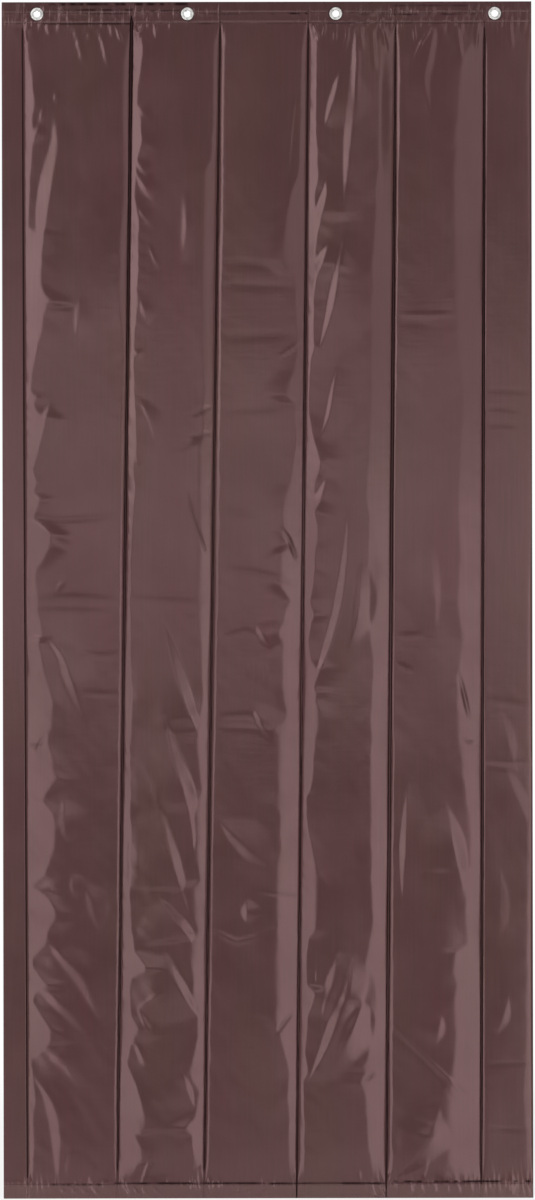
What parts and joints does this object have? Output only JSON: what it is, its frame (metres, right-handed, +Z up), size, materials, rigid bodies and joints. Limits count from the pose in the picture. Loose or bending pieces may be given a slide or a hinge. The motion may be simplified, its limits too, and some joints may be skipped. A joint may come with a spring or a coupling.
{
  "type": "door curtain",
  "caption": "Padded door curtain of brown coated cloth, quilted by upright seams into bays that fold, with a hemmed header and metal eyelets to hang it by.",
  "frame": {"origin": "on the curtain's mid-plane, half way across it, at the height of the eyelets' centres", "axes": "+Z up, +X to the right of someone who looks at the curtain's face, +Y from its face to its back"},
  "size_m": [0.8851, 0.0151, 2],
  "materials": {
    "face_cloth": "brown coated cloth with a soft gloss",
    "lining": "brown coated cloth, duller than the face",
    "batting": "white fluffy batting",
    "seam_stitching": "dark brown stitched seam",
    "nickel": "bright nickel plate"
  },
  "bodies": {
    "bay_1": {"front_cloth_1": "face_cloth", "back_cloth_1": "lining", "padding_1": "batting", "quilt_seam_1": "seam_stitching", "eyelet_1": "nickel", "eyelet_washer_1": "nickel"},
    "bay_2": {"front_cloth_2": "face_cloth", "back_cloth_2": "lining", "padding_2": "batting", "quilt_seam_2": "seam_stitching", "eyelet_2": "nickel", "eyelet_washer_2": "nickel"},
    "bay_3": {"front_cloth_3": "face_cloth", "back_cloth_3": "lining", "padding_3": "batting", "quilt_seam_3": "seam_stitching"},
    "bay_4": {"front_cloth_4": "face_cloth", "back_cloth_4": "lining", "padding_4": "batting", "quilt_seam_4": "seam_stitching", "eyelet_3": "nickel", "eyelet_washer_3": "nickel"},
    "bay_5": {"front_cloth_5": "face_cloth", "back_cloth_5": "lining", "padding_5": "batting", "quilt_seam_5": "seam_stitching"},
    "bay_6": {"front_cloth_6": "face_cloth", "back_cloth_6": "lining", "padding_6": "batting", "eyelet_4": "nickel", "eyelet_washer_4": "nickel"}
  },
  "joints": [
    {"name": "fold_1", "type": "hinge", "parent": "bay_1", "child": "bay_2", "pos_m": [-0.23913, 0, -0.98], "axis": [0.0141, 0, 0.9999], "range_deg": [-65, 65]},
    {"name": "fold_2", "type": "hinge", "parent": "bay_2", "child": "bay_3", "pos_m": [-0.0923, 0, -0.98], "axis": [0.0155, 0, 0.9999], "range_deg": [-130, 130]},
    {"name": "fold_3", "type": "hinge", "parent": "bay_3", "child": "bay_4", "pos_m": [0.05872, 0, -0.98], "axis": [0.0117, 0, 0.9999], "range_deg": [-130, 130]},
    {"name": "fold_4", "type": "hinge", "parent": "bay_4", "child": "bay_5", "pos_m": [0.20647, 0, -0.98], "axis": [0.0097, 0, 1], "range_deg": [-130, 130]},
    {"name": "fold_5", "type": "hinge", "parent": "bay_5", "child": "bay_6", "pos_m": [0.36011, 0, -0.98], "axis": [0.0045, 0, 1], "range_deg": [-130, 130]}
  ],
  "couplings": [
    {"joint": "fold_2", "follows": "fold_1", "ratio": -2},
    {"joint": "fold_3", "follows": "fold_1", "ratio": 2},
    {"joint": "fold_4", "follows": "fold_1", "ratio": -2},
    {"joint": "fold_5", "follows": "fold_1", "ratio": 2}
  ]
}
